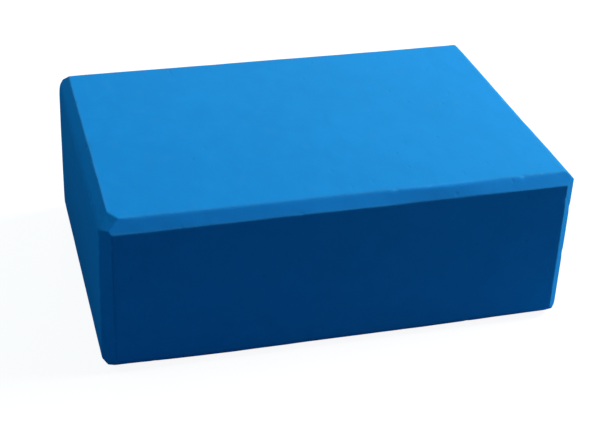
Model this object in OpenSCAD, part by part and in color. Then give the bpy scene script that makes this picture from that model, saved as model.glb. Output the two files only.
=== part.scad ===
// Foam block: one solid brick of closed-cell foam, with a flat chamfer along
// every edge. It lies on one of its two large faces.
// Millimetres, +Z up, +X along the length. The origin is the centre of the underside.

/* [Block] */
// Length, from end face to end face
block_length = 225; // [150:1:320]
// Width, from front face to back face
block_width = 155; // [100:1:240]
// Height, from underside to top face
block_height = 80; // [40:1:160]

/* [Chamfers] */
// Leg of the 45 degree chamfer on the four edges that run along the length
long_chamfer = 5; // [2:0.5:15]
// Leg of the 45 degree chamfer on the four edges that run across the width
cross_chamfer = 5.5; // [2:0.5:15]
// Leg of the 45 degree chamfer on the four upright edges
upright_chamfer = 5.5; // [2:0.5:15]

/* [Hidden] */
foam_blue = [0.10, 0.47, 0.74];

// A centred rectangle with its four corners cut off at 45 degrees
module chamfered_rectangle(size_x, size_y, leg) {
    half_x = size_x / 2;
    half_y = size_y / 2;
    polygon([
        [half_x - leg, -half_y],
        [half_x, -half_y + leg],
        [half_x, half_y - leg],
        [half_x - leg, half_y],
        [-half_x + leg, half_y],
        [-half_x, half_y - leg],
        [-half_x, -half_y + leg],
        [-half_x + leg, -half_y]
    ]);
}

// The block's section across its length, run along X
module lengthwise_bar() {
    rotate([90, 0, 90])
        linear_extrude(height = block_length, center = true)
            chamfered_rectangle(block_width, block_height, long_chamfer);
}

// The block's side profile, run along Y
module crosswise_bar() {
    rotate([90, 0, 0])
        linear_extrude(height = block_width, center = true)
            chamfered_rectangle(block_length, block_height, cross_chamfer);
}

// The block's plan, run along Z
module upright_bar() {
    linear_extrude(height = block_height, center = true)
        chamfered_rectangle(block_length, block_width, upright_chamfer);
}

// The whole block: what the three bars have in common, so that the three
// chamfers at each corner meet in one blunt point
module foam_block() {
    color(foam_blue)
        translate([0, 0, block_height / 2])
            intersection() {
                lengthwise_bar();
                crosswise_bar();
                upright_bar();
            }
}

foam_block();
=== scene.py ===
import math
import random
from itertools import combinations, product

import bmesh
import bpy
from mathutils import Matrix, Vector, noise


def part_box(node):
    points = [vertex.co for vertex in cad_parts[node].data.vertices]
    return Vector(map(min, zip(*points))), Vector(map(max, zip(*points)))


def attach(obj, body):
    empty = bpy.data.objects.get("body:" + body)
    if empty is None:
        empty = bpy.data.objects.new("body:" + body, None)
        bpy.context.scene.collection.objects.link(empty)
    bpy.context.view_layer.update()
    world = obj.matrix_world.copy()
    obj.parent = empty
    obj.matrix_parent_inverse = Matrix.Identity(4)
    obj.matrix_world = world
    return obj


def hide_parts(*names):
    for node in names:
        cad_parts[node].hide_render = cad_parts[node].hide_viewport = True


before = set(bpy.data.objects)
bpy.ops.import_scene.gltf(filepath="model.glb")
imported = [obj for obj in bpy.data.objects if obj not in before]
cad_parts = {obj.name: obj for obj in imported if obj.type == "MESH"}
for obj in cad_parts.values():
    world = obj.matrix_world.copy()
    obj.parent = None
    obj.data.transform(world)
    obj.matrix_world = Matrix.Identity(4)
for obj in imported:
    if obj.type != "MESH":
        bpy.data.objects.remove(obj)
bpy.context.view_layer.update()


# ---- Foam block ------------------------------------------------------------------------
# The whole object: one block of blue closed-cell foam, firm enough to stand or lean on. It
# is cut from a thick foamed sheet, so its faces are flat but never quite even. Its twelve
# edges are then trimmed to small chamfers, three of which meet at each corner.

low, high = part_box("foam_block")
middle = (low + high) / 2
half_size = (high - low) / 2
long_chamfer = 0.005
cross_chamfer = 0.0055
upright_chamfer = 0.0055
chamfer_legs = {(0, 1): upright_chamfer, (0, 2): cross_chamfer, (1, 2): long_chamfer}

block = bmesh.new()
bmesh.ops.create_cube(block, size=2)
bmesh.ops.scale(block, vec=half_size, verts=block.verts)
bmesh.ops.translate(block, vec=middle, verts=block.verts)


def slice_block(point, outward, trim=False):
    """Cuts the block's skin along a plane, and takes off what lies outside it if asked."""
    everything = block.verts[:] + block.edges[:] + block.faces[:]
    return bmesh.ops.bisect_plane(block, geom=everything, plane_co=point, plane_no=outward,
                                  clear_outer=trim)


# Every flat is kept as a point on it and the way it faces.
opposite_faces = (("left", "right"), ("front", "back"), ("base", "top"))
faces = {}
for axis, names in enumerate(opposite_faces):
    for name, way in zip(names, (-1, 1)):
        outward = Vector((0, 0, 0))
        outward[axis] = way
        faces[name] = (middle + outward * half_size[axis], outward)

chamfers = {}
for first, second in combinations(faces, 2):
    diagonal = faces[first][1] + faces[second][1]
    axes = tuple(axis for axis in range(3) if diagonal[axis])
    if len(axes) < 2:
        continue
    on_cut = middle + diagonal * half_size - diagonal * chamfer_legs[axes] / 2
    chamfers[first, second] = (on_cut, diagonal.normalized())
    cut = slice_block(*chamfers[first, second], trim=True)
    rim = [part for part in cut["geom_cut"] if isinstance(part, bmesh.types.BMEdge)]
    bmesh.ops.edgeloop_fill(block, edges=rim)
bmesh.ops.recalc_face_normals(block, faces=block.faces)

# Rows of points close beside every edge, and an even grid between them, give the skin
# something to bend.
face_rows = (0.00025, 0.0005, 0.0008, 0.0012, 0.0018, 0.0026)
chamfer_rows = (0.00025, 0.0006, 0.0011)
grid_pitch = Vector((0.00125, 0.0015, 0.0018))
grid_margin = 0.0075

for on_face, outward in faces.values():
    for depth in face_rows:
        slice_block(on_face - outward * depth, outward)
for on_cut, outward in chamfers.values():
    for depth in chamfer_rows:
        slice_block(on_cut - outward * depth, outward)
for axis in (2, 1, 0):
    span = half_size[axis] - grid_margin
    rows = round(2 * span / grid_pitch[axis])
    across = Vector((0, 0, 0))
    across[axis] = 1
    for row in range(rows + 1):
        slice_block(middle + across * span * (2 * row / rows - 1), across)

# Most corners are blunted a little by handling: how far back, which way that flat faces
# (1, 1, 1 is evenly between the three faces), and how softly it rounds off. Where the flat
# lies outside the corner's point, with a minus, the corner is only rounded.
evenly = (1, 1, 1)
usual_wear = (0.0006, evenly, 0.00010)
corner_wear = {("left", "front", "top"): (0.00180, (1, 0.62, 1.75), -0.00003),
               ("left", "back", "top"): (-0.0003, evenly, 0.00003),
               ("left", "front", "base"): (-0.0010, evenly, 0.00002),
               ("right", "front", "base"): (-0.0010, evenly, 0.00008),
               ("right", "front", "top"): (0.0002, evenly, 0.00005),
               ("right", "back", "top"): (-0.0010, evenly, 0.00004)}
corner_rows = (-0.0010, -0.0005, -0.0002, 0.0002, 0.0005)
corners = {}
point_inset = Vector((upright_chamfer + cross_chamfer - long_chamfer,
                      upright_chamfer + long_chamfer - cross_chamfer,
                      long_chamfer + cross_chamfer - upright_chamfer)) / 2
for name in product(*opposite_faces):
    towards = faces[name[0]][1] + faces[name[1]][1] + faces[name[2]][1]
    bluntness, facing, roundness = corner_wear.get(name, usual_wear)
    outward = (towards * Vector(facing)).normalized()
    point = middle + towards * half_size - towards * point_inset
    corners[name] = (point - outward * bluntness, outward)
    for depth in corner_rows:
        slice_block(corners[name][0] - outward * depth, outward)

# The cut faces are slightly wavy, and the chamfers wander by a few tenths of a millimetre.
# The faces only go inwards from their true planes, so the block stays within its size.
wave_depth, wave_length = 0.00012, 0.045
ripple_depth, ripple_length = 0.00004, 0.011
drift_depth, drift_length = 0.00020, 0.060
wander_depth, wander_length = 0.00014, 0.012
swell_strength = 0.8


def swell(spot, length, shift):
    """A smooth random height, nearly always between 0 and 1, over swells of this length."""
    return max(0, 0.5 + swell_strength * noise.noise(spot / length + Vector((shift, 0, 0))))


# The left end was sawn a little out of square: towards the top it bends in by this much.
lean_in = {"left": 0.0008}

# Where the trimming went deeper at one place, or less deep: how far that is from an end, how
# much on the first face's side and on the second's, and how far along the chamfer it reaches.
slips = {("front", "base"): (("left", 0, 0.0011, 0.0011, 0.024),
                             ("right", 0, 0.0004, 0.0004, 0.025)),
         ("front", "top"): (("left", 0, 0.0005, -0.0003, 0.055),
                            ("right", 0.067, 0, -0.0010, 0.013)),
         ("right", "base"): (("front", 0, -0.0012, -0.0012, 0.010),),
         ("right", "front"): (("base", 0, -0.0003, -0.0003, 0.025),),
         ("left", "top"): (("back", 0, 0, 0.0002, 0.010),),
         ("right", "top"): (("front", 0, -0.0005, -0.0005, 0.050),),
         ("back", "top"): (("right", 0, -0.0008, -0.0008, 0.025),
                           ("left", 0, 0.0003, 0.0003, 0.008))}

# How deep under a flat a point still feels it, lies on it, or is out of its reach.
near_enough = 0.0045
touching = 1e-6
far_off = 1


def hollow_of(kind, name, shift, spot):
    """How far a flat lies under its true plane here."""
    if kind == "face":
        return (wave_depth * swell(spot, wave_length, shift)
                + ripple_depth * swell(spot, ripple_length, shift)
                + lean_in.get(name, 0) * ((spot.z - low.z) / (high.z - low.z)) ** 2)
    if kind == "corner":
        return 0
    hollow = (drift_depth * swell(spot, drift_length, shift)
              + wander_depth * swell(spot, wander_length, shift))
    to_first, to_second = (max(0, (faces[side][0] - spot).dot(faces[side][1])) for side in name)
    across_chamfer = to_first / max(to_first + to_second, touching)
    for end, from_end, at_first, at_second, reach in slips.get(name, ()):
        on_end, outward = faces[end]
        away = (on_end - spot).dot(outward) - from_end
        nearness = math.exp(-(away / reach) ** 2 / 2)
        hollow += (at_first + (at_second - at_first) * across_chamfer) * nearness
    return hollow


# Each flat gets swells of its own, from another part of the noise.
shift_step = 3.7
flats = []
for kind, group in (("face", faces), ("chamfer", chamfers), ("corner", corners)):
    for name, (on_flat, outward) in group.items():
        flats.append((kind, name, on_flat, outward, len(flats) * shift_step))

# Where two flats meet, the foam gives way softly, and at some edges more than at others. That
# fades out close to a corner.
edge_softness = 0.00005
softness_swing = 0.00007
softness_shift = 50
soft_edges = {("top", ("front", "top")): 0.00030, ("left", ("left", "top")): 0.00060,
              ("front", ("left", "front")): 0.00006, ("left", ("left", "front")): 0.00008}
soft_reach = 0.0014
corner_crispness = 0.0040
rounding_steps = 3


def rounded(spot, near, softness):
    """A point moved onto the soft meeting of the flats near it, and the way outwards there."""
    for _ in range(rounding_steps):
        total = 0
        pull = Vector((0, 0, 0))
        for on_flat, outward, hollow in near:
            weight = math.exp(((spot - on_flat).dot(outward) + hollow) / softness)
            total += weight
            pull += outward * weight
        pull /= total
        spot = spot - pull * softness * math.log(total) / pull.length_squared
    return spot, pull.normalized()


# Small nicks along the edges, from knocks and from the trimming knife: where, how wide and
# how deep. The first three have their places, and chance scatters the others.
chances = random.Random(12)
nick_count = 46
nick_span = 0.93
nick_reaches = (0.0009, 0.0018)
nick_depths = (0.00008, 0.00030)
nick_limit = 3
nicks = [(Vector((0.0855, -0.0725, 0.0800)), 0.0013, 0.00040),
         (Vector((-0.1115, -0.0730, 0.0752)), 0.0008, 0.00022),
         (Vector((-0.1083, -0.0766, 0.0752)), 0.0007, 0.00020)]
for _ in range(nick_count):
    first, second = chances.choice(list(chamfers))
    if chances.random() < 0.5:
        first, second = second, first
    kept, moved = faces[first][1], faces[second][1]
    along = Vector(1 - abs(a) - abs(b) for a, b in zip(kept, moved))
    axes = tuple(sorted((max(range(3), key=lambda i: abs(kept[i])),
                         max(range(3), key=lambda i: abs(moved[i])))))
    centre = (middle + (kept + moved) * half_size - moved * chamfer_legs[axes]
              + along * half_size * chances.uniform(-nick_span, nick_span))
    nicks.append((centre, chances.uniform(*nick_reaches), chances.uniform(*nick_depths)))

# Some chamfers are painted bluer, as painted light, the top-front one most: 0 is as dull as the
# faces. Edges are rubbed pale over a narrow strip, and less of it lies on the chamfers.
painted_light_share = {("front", "top"): 1.0, ("left", "front"): 0.0, ("right", "front"): 0.0}
usual_painted_light = 0.5
rub_width = 0.0012
spared_by_rubbing = 0.6

rub = block.verts.layers.float.new("rub")
trimmed = block.verts.layers.float.new("trimmed")
painted_chamfer_light = block.verts.layers.float.new("painted_chamfer_light")
nick_highlight = block.verts.layers.float.new("nick_highlight")
for vert in block.verts:
    spot = vert.co.copy()
    near = []
    depth_of = {}
    softness = edge_softness + softness_swing * swell(spot, drift_length, softness_shift)
    for kind, name, on_flat, outward, shift in flats:
        depth = (on_flat - spot).dot(outward)
        if depth < near_enough:
            near.append((on_flat, outward, hollow_of(kind, name, shift, spot)))
            depth_of[name] = depth
            if kind == "corner":
                roundness = corner_wear.get(name, usual_wear)[2]
                softness += roundness * math.exp(-(depth / soft_reach) ** 2 / 2)
    corner_depth = min([depth for name, depth in depth_of.items() if name in corners]
                       + [far_off])
    from_corner = min(1, max(0, corner_depth / corner_crispness))
    for (face, chamfer), soft in soft_edges.items():
        if face in depth_of and chamfer in depth_of:
            away = (depth_of[face] ** 2 + depth_of[chamfer] ** 2) / soft_reach ** 2
            softness += (soft - edge_softness) * math.exp(-away / 2) * from_corner
    spot, outward = rounded(spot, near, softness)
    for centre, reach, depth in nicks:
        away = (vert.co - centre).length / reach
        if away < nick_limit:
            spot -= outward * depth * math.exp(-away * away)
            # Each nick also gets a painted highlight.
            vert[nick_highlight] += math.exp(-away * away)

    on_chamfer = all(depth_of.get(name, far_off) > touching for name in faces)
    chamfer_depths = [(depth, name) for name, depth in depth_of.items() if name in chamfers]
    nearest = min(chamfer_depths)[1] if chamfer_depths else None
    flat_depths = sorted(depth for name, depth in depth_of.items() if name not in corners)
    edge_depth = flat_depths[1] if len(flat_depths) > 1 else rub_width
    vert[trimmed] = 1.0 if on_chamfer else 0.0
    # How much painted light, bluer, the chamfer under this point gets.
    vert[painted_chamfer_light] = vert[trimmed] * (painted_light_share.get(nearest, usual_painted_light) if nearest else 0)
    vert[rub] = (max(0, 1 - edge_depth / rub_width) * (1 - spared_by_rubbing * vert[trimmed])
                 * min(1, max(0, corner_depth / rub_width)))
    vert.co = spot

# Slivers, where several of the slices cross near a corner, are merged away, and the bent
# patches are split so that none of them folds over.
sliver = 0.0001
bmesh.ops.remove_doubles(block, verts=block.verts, dist=sliver)
bmesh.ops.dissolve_degenerate(block, dist=sliver, edges=block.edges)
bmesh.ops.triangulate(block, faces=block.faces, quad_method="BEAUTY", ngon_method="BEAUTY")

mesh = bpy.data.meshes.new("foam_block_skin")
block.to_mesh(mesh)
block.free()
mesh.shade_smooth()
foam = bpy.data.objects.new("foam_block_skin", mesh)
bpy.context.scene.collection.objects.link(foam)


class Wire:
    """A socket that gives a value in one material. Sums and products add Math nodes."""

    def __init__(self, tree, socket=None):
        self.tree = tree
        self.socket = socket

    def node(self, kind, settings=None, sockets=None, output=0):
        """Adds a node: its settings first, then the values or links of its sockets."""
        made = self.tree.nodes.new("ShaderNode" + kind)
        for name, value in (settings or {}).items():
            setattr(made, name, value)
        for name, value in (sockets or {}).items():
            if isinstance(name, str):
                socket = [one for one in made.inputs if one.name == name and one.enabled][0]
            else:
                socket = made.inputs[name]
            if isinstance(value, Wire):
                self.tree.links.new(value.socket, socket)
            else:
                socket.default_value = value
        results = [one for one in made.outputs if one.enabled]
        if isinstance(output, str):
            results = [one for one in results if one.name == output]
            output = 0
        return Wire(self.tree, results[output] if results else None)

    def maths(self, operation, first, second):
        return self.node("Math", {"operation": operation}, {0: first, 1: second})

    def __add__(self, other):
        return self.maths("ADD", self, other)

    def __radd__(self, other):
        return self.maths("ADD", other, self)

    def __sub__(self, other):
        return self.maths("SUBTRACT", self, other)

    def __rsub__(self, other):
        return self.maths("SUBTRACT", other, self)

    def __mul__(self, other):
        return self.maths("MULTIPLY", self, other)

    def __rmul__(self, other):
        return self.maths("MULTIPLY", other, self)

    def ease(self, start, end):
        """0 up to the start, 1 from the end on, and smooth between them."""
        return self.node("MapRange", {"interpolation_type": "SMOOTHSTEP"},
                         {"Value": self, "From Min": start, "From Max": end})

    def mix(self, share, first, second):
        """A colour between two others."""
        return self.node("Mix", {"data_type": "RGBA"}, {"Factor": share, "A": first, "B": second})


# The dye: blues between deep and pale in clouds, patches, freckles and single foam cells.
deep_blue = (0.0088, 0.232, 0.599, 1)
pale_blue = (0.0150, 0.322, 0.799, 1)
# A painted sheen colour.
painted_sheen_blue = (0.0700, 0.335, 0.500, 1)
rubbed_blue = (0.0420, 0.290, 0.630, 1)
# For chips, and for the painted highlight at the nicks.
chip_and_highlight_blue = (0.0600, 0.400, 0.840, 1)
# Painted light on the chamfers.
painted_light_blue = (0.0120, 0.300, 0.980, 1)
# For pressed marks, and for painted shade in the dents.
pressed_and_pit_shade_blue = (0.0070, 0.170, 0.440, 1)

finish = bpy.data.materials.new("blue_foam")
finish.use_nodes = True
finish.node_tree.nodes.clear()
dye = Wire(finish.node_tree)
stretch = (1, 0.65, 1)
on_block = dye.node("TexCoord", output="Object")
place = dye.node("VectorMath", {"operation": "MULTIPLY"}, {0: on_block, 1: stretch})


def noise_of(length, detail=2, shift=0):
    """Even random blotches of about this length. Another shift gives other blotches."""
    return dye.node("TexNoise", {"noise_dimensions": "4D"},
                    {"Vector": place, "W": shift, "Scale": 1 / length, "Detail": detail})


def attribute(name):
    """A value that the skin's points carry."""
    return dye.node("Attribute", {"attribute_name": name}, output="Fac")


cell_size = 0.00045
cell_middle = 0.45
cloud_strength = 0.36
patch_strength = 0.36
freckle_strength = 0.12
cell_strength = 0.20
clouds = noise_of(0.042)
patches = noise_of(0.009, detail=1, shift=3)
freckles = noise_of(0.0025, detail=1, shift=6)
cells = dye.node("TexVoronoi", {"feature": "SMOOTH_F1"},
                 {"Vector": place, "Scale": 1 / cell_size, "Smoothness": 0.3}, output="Distance")
mottling = (0.5 + (clouds - 0.5) * cloud_strength + (patches - 0.5) * patch_strength
            + (freckles - 0.5) * freckle_strength)
mottling = mottling + (cell_middle - cells) * cell_strength
colour = dye.mix(mottling, deep_blue, pale_blue)

# Painted sheen: towards the right end and the back the colour turns a little paler and greyer.
sheen_way = (1, 0.5, 0)
sheen_range = (-0.16, 0.09)
sheen_strength = 0.12
along_sheen = dye.node("VectorMath", {"operation": "DOT_PRODUCT"},
                        {0: on_block, 1: sheen_way}, output="Value")
colour = dye.mix(along_sheen.ease(*sheen_range) * sheen_strength, colour, painted_sheen_blue)

# Faint marks of use: pressed spots and paler ones, each a few millimetres wide.
pressed_range, pressed_strength = (0.58, 0.76), 0.05
paled_range, paled_strength = (0.58, 0.74), 0.12
pressed = noise_of(0.0070, detail=1, shift=9).ease(*pressed_range)
paled = noise_of(0.0065, detail=1, shift=12).ease(*paled_range)
colour = dye.mix(pressed * pressed_strength, colour, pressed_and_pit_shade_blue)
colour = dye.mix(paled * paled_strength, colour, rubbed_blue)

# Small dents, round and shallow, and darkened as painted shade. Only some of the spots that could
# hold one do, and more of them on the chamfers.
pit_spacing = 0.0075
pit_radius = 0.0013
pit_edge = pit_radius / pit_spacing
pit_floor = 0.3
pit_chance = (0.45, 0.55)
chamfer_luck = 0.3
pit_shade_strength = 0.06
pit_spots = {"Vector": place, "Scale": 1 / pit_spacing}
from_pit = dye.node("TexVoronoi", {}, pit_spots, output="Distance")
pit_colour = dye.node("TexVoronoi", {}, pit_spots, output="Color")
chance = dye.node("SeparateColor", {}, {"Color": pit_colour}, output="Red")
chamfered = attribute("trimmed")
pit = from_pit.ease(pit_edge, pit_floor * pit_edge)
pit = pit * (chance + chamfered * chamfer_luck).ease(*pit_chance)
# Painted shade: the dents are darker.
colour = dye.mix(pit * pit_shade_strength, colour, pressed_and_pit_shade_blue)

# Chamfers are painted bluer, as painted light. Rubbed edges and small chips are paler, and
# the nicks carry a painted highlight.
painted_light_strength = 0.3
even_rub, freckled_rub, freckle_range = 0.2, 0.4, (0.30, 0.65)
worn_range = (0.2, 0.9)
chip_range, chip_strength = (0.62, 0.72), 0.5
nick_highlight_strength = 0.35
colour = dye.mix(attribute("painted_chamfer_light") * painted_light_strength, colour, painted_light_blue)
rubbed = attribute("rub")
rubbing = rubbed * (even_rub + freckles.ease(*freckle_range) * freckled_rub)
colour = dye.mix(rubbing, colour, rubbed_blue)
chips = rubbed.ease(*worn_range) * noise_of(0.0022, shift=15).ease(*chip_range)
# Painted highlight: pale where the nicks are.
painted_nick_highlight = attribute("nick_highlight").ease(*worn_range)
colour = dye.mix(chips * chip_strength + painted_nick_highlight * nick_highlight_strength, colour, chip_and_highlight_blue)

# A fine relief over the shaped skin, in metres.
cell_relief = -0.00002
pit_relief = -0.00007
pressed_relief = -0.00002
freckle_relief = 0.00003
patch_relief = 0.0002
height = (cells * cell_relief + pit * pit_relief + pressed * pressed_relief
          + (freckles - 0.5) * freckle_relief + (patches - 0.5) * chamfered * patch_relief)
relief = dye.node("Bump", {}, {"Strength": 1.0, "Distance": 1.0, "Height": height})

# Dry and matt all over, a little more so where it is scuffed or dented.
usual_roughness = 0.88
cloud_roughness = 0.1
scuff_range, scuff_roughness = (0.56, 0.72), 0.06
pit_roughness = 0.1
scuffs = noise_of(0.016, detail=4, shift=18).ease(*scuff_range)
roughness = (usual_roughness + (clouds - 0.5) * cloud_roughness + scuffs * scuff_roughness
             + pit * pit_roughness)
skin = dye.node("BsdfPrincipled", {}, {"Base Color": colour, "Roughness": roughness,
                                       "Normal": relief, "Specular IOR Level": 0.01})
dye.node("OutputMaterial", {}, {"Surface": skin})
mesh.materials.append(finish)

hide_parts("foam_block")
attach(foam, "root")


# ---- Floor -----------------------------------------------------------------------------
# A plain pale floor. The camera sees it white, with the block's soft shadow on it, and it
# throws only a dim, cool light back onto the block's sides.

floor_size = 3.0
floor_shell = bmesh.new()
bmesh.ops.create_grid(floor_shell, x_segments=1, y_segments=1, size=floor_size / 2)
floor_mesh = bpy.data.meshes.new("floor")
floor_shell.to_mesh(floor_mesh)
floor_shell.free()
floor = bpy.data.objects.new("floor", floor_mesh)
bpy.context.scene.collection.objects.link(floor)


def seen_or_lit(wires, seen, lit):
    """One shader for what is looked at, straight or mirrored, and one for the light it gives."""
    looks = [wires.node("LightPath", {}, {}, output=name)
             for name in ("Is Camera Ray", "Is Glossy Ray", "Is Transmission Ray")]
    return wires.node("MixShader", {}, {0: looks[0] + looks[1] + looks[2], 1: lit, 2: seen})


white = (1, 1, 1, 1)
floor_glow = (0.92, 0.92, 0.92, 1)
floor_shade = (0.20, 0.20, 0.20, 1)
white_from, white_by = 0.25, 1.0
floor_paint = bpy.data.materials.new("pale_floor")
floor_paint.use_nodes = True
floor_paint.node_tree.nodes.clear()
paint = Wire(floor_paint.node_tree)
on_floor = paint.node("TexCoord", output="Object")
from_centre = paint.node("VectorMath", {"operation": "LENGTH"}, {0: on_floor}, output="Value")
glow = paint.node("MixShader", {}, {0: from_centre.ease(white_from, white_by),
                                    1: paint.node("Emission", {}, {"Color": floor_glow}),
                                    2: paint.node("Emission", {}, {"Color": white})})
seen_floor = paint.node("AddShader", {}, {
    0: glow, 1: paint.node("BsdfDiffuse", {}, {"Color": floor_shade})})

# Right in front of the block the bounce is stronger, as from a reflector that lies there.
bounce_tint = (0.011, 0.205, 0.314, 1)
reflector_tint = (0.017, 0.295, 0.465, 1)
reflector_front = (-0.15, -0.08)
reflector_back = (0, -0.05)
from_front = paint.node("SeparateXYZ", {}, {"Vector": on_floor}, output="Y")
lit_floor = paint.node("MixShader", {}, {
    0: from_front.ease(*reflector_front) * from_front.ease(*reflector_back),
    1: paint.node("BsdfDiffuse", {}, {"Color": bounce_tint}),
    2: paint.node("BsdfDiffuse", {}, {"Color": reflector_tint})})
paint.node("OutputMaterial", {}, {"Surface": seen_or_lit(paint, seen_floor, lit_floor)})
floor_mesh.materials.append(floor_paint)


# ---- Camera ----------------------------------------------------------------------------
# A long lens, a little left of the block's front and looking down on it, tipped slightly
# to one side.

lens = bpy.data.cameras.new("camera")
camera = bpy.data.objects.new("camera", lens)
bpy.context.scene.collection.objects.link(camera)
bpy.context.scene.camera = camera
lens.lens = 81.6
lens.sensor_width = 36
lens.clip_start = 0.01
lens.clip_end = 20
turn, rise, roll = (math.radians(angle) for angle in (16.48, 31.31, 2.56))
aim = Vector((-0.00722, -0.02462, 0.040))
camera_distance = 0.6680
towards_camera = Vector((-math.sin(turn) * math.cos(rise), -math.cos(turn) * math.cos(rise),
                         math.sin(rise)))
camera.location = aim + towards_camera * camera_distance
camera.rotation_mode = "QUATERNION"
camera.rotation_quaternion = (towards_camera.to_track_quat("Z", "Y")
                              @ Matrix.Rotation(roll, 3, "Z").to_quaternion())


# ---- Lamps -----------------------------------------------------------------------------
# Square studio lamps: a key high on the right, and two weak ones that lift the left end and
# the back. Each is given by its angle round the block and above the floor, in degrees, and
# by its distance, size, power and tint.

lamp_aim = Vector((0, 0, 0.040))
lamps = {
    "key": (4, 41, 1.0, 0.60, 12.6, (1, 1, 1)),
    "left_fill": (178, 36, 0.40, 0.18, 0.152, (0.33, 1.0, 0.97)),
    "back_fill": (95, 25, 0.80, 0.36, 1.57, (1, 1, 1)),
}
for name, (around, above, distance, size, power, tint) in lamps.items():
    light = bpy.data.lights.new(name, "AREA")
    light.energy = power
    light.size = size
    light.color = tint
    lamp = bpy.data.objects.new(name, light)
    bpy.context.scene.collection.objects.link(lamp)
    around = math.radians(around)
    above = math.radians(above)
    towards_lamp = Vector((math.cos(around) * math.cos(above),
                           math.sin(around) * math.cos(above), math.sin(above)))
    lamp.location = lamp_aim + towards_lamp * distance
    lamp.rotation_mode = "QUATERNION"
    lamp.rotation_quaternion = towards_lamp.to_track_quat("Z", "Y")

# The room looks white to the camera, and lights the block only dimly, with a cool tint.
world = bpy.data.worlds.new("studio")
bpy.context.scene.world = world
world.use_nodes = True
world.node_tree.nodes.clear()
sky = Wire(world.node_tree)
room_light = (0.027, 0.064, 0.114, 1)
seen_sky = sky.node("Background", {}, {"Color": white, "Strength": 1.0})
lit_sky = sky.node("Background", {}, {"Color": room_light, "Strength": 1.0})
sky.node("OutputWorld", {}, {"Surface": seen_or_lit(sky, seen_sky, lit_sky)})

bpy.context.scene.view_settings.view_transform = "Standard"
